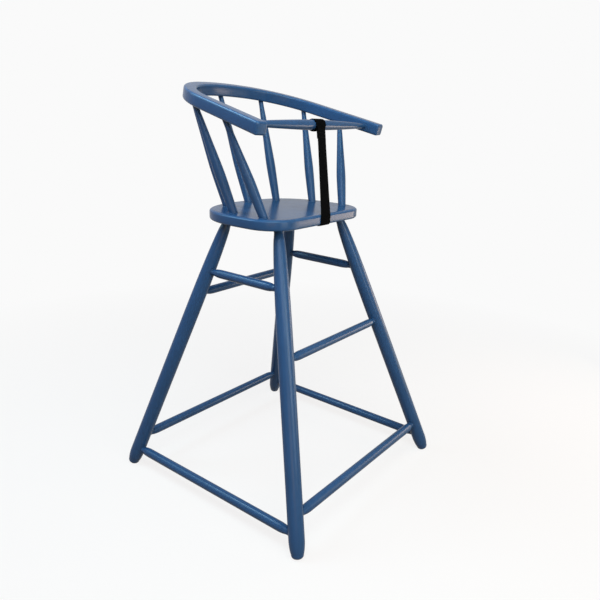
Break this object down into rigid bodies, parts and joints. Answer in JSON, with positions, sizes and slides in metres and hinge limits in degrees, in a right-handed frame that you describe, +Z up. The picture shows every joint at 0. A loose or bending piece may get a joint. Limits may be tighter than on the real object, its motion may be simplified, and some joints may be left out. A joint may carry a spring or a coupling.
{
  "type": "child's high chair",
  "caption": "Painted wooden child's high chair: slab seat on splayed turned legs with round stretchers, bent arm rail on spindles, front bar and webbing crotch strap.",
  "frame": {"origin": "centre of the footprint on the floor, under the middle of the four feet", "axes": "+Z up, the sitter faces -Y, +X is the sitter's left"},
  "size_m": [0.5076, 0.4866, 0.792],
  "materials": {
    "painted_wood": "beech under blue satin-gloss paint",
    "strap_webbing": "black ribbed polyester webbing",
    "plated_steel": "zinc plated steel"
  },
  "bodies": {
    "root": {"seat": "painted_wood", "leg_front_right": "painted_wood", "leg_back_right": "painted_wood", "leg_front_left": "painted_wood", "leg_back_left": "painted_wood", "stretcher_low_right": "painted_wood", "stretcher_low_left": "painted_wood", "stretcher_low_front": "painted_wood", "stretcher_low_back": "painted_wood", "stretcher_high_right": "painted_wood", "stretcher_high_left": "painted_wood", "stretcher_high_back": "painted_wood", "footrest": "painted_wood", "arm_rail": "painted_wood", "spindle_back_middle": "painted_wood", "spindle_back_outer_right": "painted_wood", "spindle_back_outer_left": "painted_wood", "spindle_side_right": "painted_wood", "spindle_side_left": "painted_wood", "spindle_front_right": "painted_wood", "spindle_front_left": "painted_wood", "front_bar": "painted_wood", "crotch_strap": "strap_webbing", "strap_screw": "plated_steel", "strap_washer": "plated_steel"}
  },
  "joints": []
}
